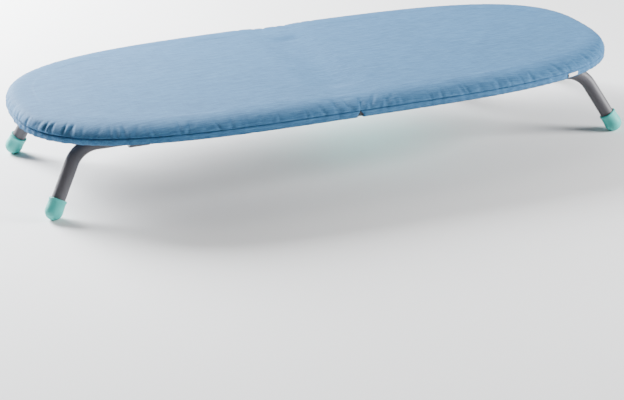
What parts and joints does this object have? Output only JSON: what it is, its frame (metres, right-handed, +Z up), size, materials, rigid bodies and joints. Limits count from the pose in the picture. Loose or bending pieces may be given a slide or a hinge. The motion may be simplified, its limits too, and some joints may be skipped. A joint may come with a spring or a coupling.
{
  "type": "folding table-top ironing board",
  "caption": "Padded oval ironing board in two halves that hinge face to face, on bent tube legs that swing flat, with a sliding sleeve that locks the leg tubes in line.",
  "frame": {"origin": "on the table under the middle of the open board, at the fold line", "axes": "+X along the board towards the half with the sliding sleeve, +Y towards the side away from the blank label, +Z up"},
  "size_m": [0.82, 0.36, 0.115],
  "materials": {
    "cover_fabric": "heathered cotton, matt",
    "foam": "needled felt or foam padding",
    "grey_plastic": "moulded, satin",
    "clamp_plastic": "moulded, satin",
    "painted_tube": "grey powder coat",
    "mint_rubber": "soft moulded",
    "mint_plastic": "moulded, satin",
    "steel": "bright zinc plate",
    "webbing": "flat woven",
    "label": "blank woven"
  },
  "bodies": {
    "right_half": {"base_right": "grey_plastic", "pad_right": "foam", "cover_right": "cover_fabric", "hinge_leaf_right_near": "steel", "clamp_right_near_fold": "clamp_plastic", "screw_right_near_fold_in": "steel", "screw_right_near_fold_out": "steel", "clamp_right_near_nose": "clamp_plastic", "screw_right_near_nose_in": "steel", "screw_right_near_nose_out": "steel", "hinge_leaf_right_far": "steel", "clamp_right_far_fold": "clamp_plastic", "screw_right_far_fold_in": "steel", "screw_right_far_fold_out": "steel", "clamp_right_far_nose": "clamp_plastic", "screw_right_far_nose_in": "steel", "screw_right_far_nose_out": "steel", "hinge_pin_near": "steel", "hinge_pin_far": "steel", "closure_strap": "webbing", "side_label": "label"},
    "left_half": {"base_left": "grey_plastic", "pad_left": "foam", "cover_left": "cover_fabric", "hinge_leaf_left_near": "steel", "clamp_left_near_fold": "clamp_plastic", "screw_left_near_fold_in": "steel", "screw_left_near_fold_out": "steel", "clamp_left_near_nose": "clamp_plastic", "screw_left_near_nose_in": "steel", "screw_left_near_nose_out": "steel", "hinge_leaf_left_far": "steel", "clamp_left_far_fold": "clamp_plastic", "screw_left_far_fold_in": "steel", "screw_left_far_fold_out": "steel", "clamp_left_far_nose": "clamp_plastic", "screw_left_far_nose_in": "steel", "screw_left_far_nose_out": "steel"},
    "leg_right_near": {"leg_tube_right_near": "painted_tube", "foot_cap_right_near": "mint_rubber", "tube_plug_right_near": "clamp_plastic"},
    "leg_right_far": {"leg_tube_right_far": "painted_tube", "foot_cap_right_far": "mint_rubber", "tube_plug_right_far": "clamp_plastic"},
    "leg_left_near": {"leg_tube_left_near": "painted_tube", "foot_cap_left_near": "mint_rubber", "tube_plug_left_near": "clamp_plastic"},
    "leg_left_far": {"leg_tube_left_far": "painted_tube", "foot_cap_left_far": "mint_rubber", "tube_plug_left_far": "clamp_plastic"},
    "sleeve": {"lock_sleeve": "mint_plastic"}
  },
  "joints": [
    {"name": "board_fold", "type": "hinge", "parent": "right_half", "child": "left_half", "pos_m": [0, 0, 0.1125], "axis": [0, 1, 0], "range_deg": [0, 173]},
    {"name": "leg_swing_right_near", "type": "hinge", "parent": "right_half", "child": "leg_right_near", "pos_m": [0, -0.105, 0.0855], "axis": [1, 0, 0], "range_deg": [0, 100]},
    {"name": "leg_swing_right_far", "type": "hinge", "parent": "right_half", "child": "leg_right_far", "pos_m": [0, 0.105, 0.0855], "axis": [-1, 0, 0], "range_deg": [0, 100]},
    {"name": "leg_swing_left_near", "type": "hinge", "parent": "left_half", "child": "leg_left_near", "pos_m": [0, -0.105, 0.0855], "axis": [1, 0, 0], "range_deg": [0, 100]},
    {"name": "leg_swing_left_far", "type": "hinge", "parent": "left_half", "child": "leg_left_far", "pos_m": [0, 0.105, 0.0855], "axis": [-1, 0, 0], "range_deg": [0, 100]},
    {"name": "sleeve_slide", "type": "slide", "parent": "right_half", "child": "sleeve", "axis": [-1, 0, 0], "range_m": [0, 0.0565]}
  ]
}
